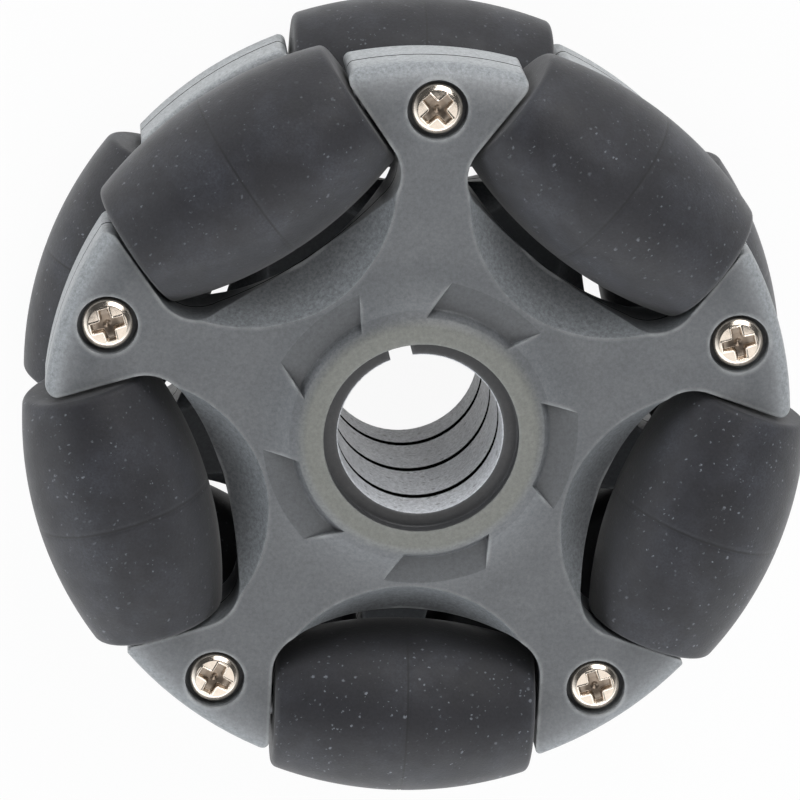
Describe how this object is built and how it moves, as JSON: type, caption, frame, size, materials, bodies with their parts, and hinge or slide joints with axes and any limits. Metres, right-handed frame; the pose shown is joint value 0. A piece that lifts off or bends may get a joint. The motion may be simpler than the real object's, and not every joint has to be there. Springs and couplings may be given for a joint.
{
  "type": "omni wheel",
  "caption": "Double omni wheel: two staggered grey moulded layers clamp barrel rollers on cross pins, with a raised hub ring, five recesses round it and a through bore.",
  "frame": {"origin": "centre of the wheel: on the bore's axis, in the plane where the two layers meet", "axes": "+Z along the bore, out of the front layer; +Y through an arm of the front layer; +X to the right seen from the front"},
  "size_m": [0.058, 0.058, 0.0256],
  "materials": {
    "plate": "fine moulded grey plastic",
    "roller": "charcoal rubber, soft sheen",
    "pin": "ground steel",
    "screw": "nickel plated steel"
  },
  "bodies": {
    "wheel": {"front_outer_plate": "plate", "front_inner_plate": "plate", "rear_inner_plate": "plate", "rear_outer_plate": "plate", "front_pin_1": "pin", "front_pin_2": "pin", "front_pin_3": "pin", "front_pin_4": "pin", "front_pin_5": "pin", "rear_pin_1": "pin", "rear_pin_2": "pin", "rear_pin_3": "pin", "rear_pin_4": "pin", "rear_pin_5": "pin", "front_screw_1": "screw", "front_screw_2": "screw", "front_screw_3": "screw", "front_screw_4": "screw", "front_screw_5": "screw", "rear_screw_1": "screw", "rear_screw_2": "screw", "rear_screw_3": "screw", "rear_screw_4": "screw", "rear_screw_5": "screw"},
    "front_roller_1": {"front_roller_1": "roller"},
    "front_roller_2": {"front_roller_2": "roller"},
    "front_roller_3": {"front_roller_3": "roller"},
    "front_roller_4": {"front_roller_4": "roller"},
    "front_roller_5": {"front_roller_5": "roller"},
    "rear_roller_1": {"rear_roller_1": "roller"},
    "rear_roller_2": {"rear_roller_2": "roller"},
    "rear_roller_3": {"rear_roller_3": "roller"},
    "rear_roller_4": {"rear_roller_4": "roller"},
    "rear_roller_5": {"rear_roller_5": "roller"}
  },
  "joints": [
    {"name": "front_roller_1_spin", "type": "hinge", "parent": "wheel", "child": "front_roller_1", "pos_m": [-0.01323, 0.0182, 0.00635], "axis": [-0.809, -0.5878, 0], "continuous": true},
    {"name": "front_roller_2_spin", "type": "hinge", "parent": "wheel", "child": "front_roller_2", "pos_m": [-0.0214, -0.00695, 0.00635], "axis": [0.309, -0.9511, 0], "continuous": true},
    {"name": "front_roller_3_spin", "type": "hinge", "parent": "wheel", "child": "front_roller_3", "pos_m": [0, -0.0225, 0.00635], "axis": [1, 0, 0], "continuous": true},
    {"name": "front_roller_4_spin", "type": "hinge", "parent": "wheel", "child": "front_roller_4", "pos_m": [0.0214, -0.00695, 0.00635], "axis": [0.309, 0.9511, 0], "continuous": true},
    {"name": "front_roller_5_spin", "type": "hinge", "parent": "wheel", "child": "front_roller_5", "pos_m": [0.01323, 0.0182, 0.00635], "axis": [-0.809, 0.5878, 0], "continuous": true},
    {"name": "rear_roller_1_spin", "type": "hinge", "parent": "wheel", "child": "rear_roller_1", "pos_m": [0, 0.0225, -0.00635], "axis": [-1, 0, 0], "continuous": true},
    {"name": "rear_roller_2_spin", "type": "hinge", "parent": "wheel", "child": "rear_roller_2", "pos_m": [0.0214, 0.00695, -0.00635], "axis": [-0.309, 0.9511, 0], "continuous": true},
    {"name": "rear_roller_3_spin", "type": "hinge", "parent": "wheel", "child": "rear_roller_3", "pos_m": [0.01323, -0.0182, -0.00635], "axis": [0.809, 0.5878, 0], "continuous": true},
    {"name": "rear_roller_4_spin", "type": "hinge", "parent": "wheel", "child": "rear_roller_4", "pos_m": [-0.01323, -0.0182, -0.00635], "axis": [0.809, -0.5878, 0], "continuous": true},
    {"name": "rear_roller_5_spin", "type": "hinge", "parent": "wheel", "child": "rear_roller_5", "pos_m": [-0.0214, 0.00695, -0.00635], "axis": [-0.309, -0.9511, 0], "continuous": true}
  ]
}
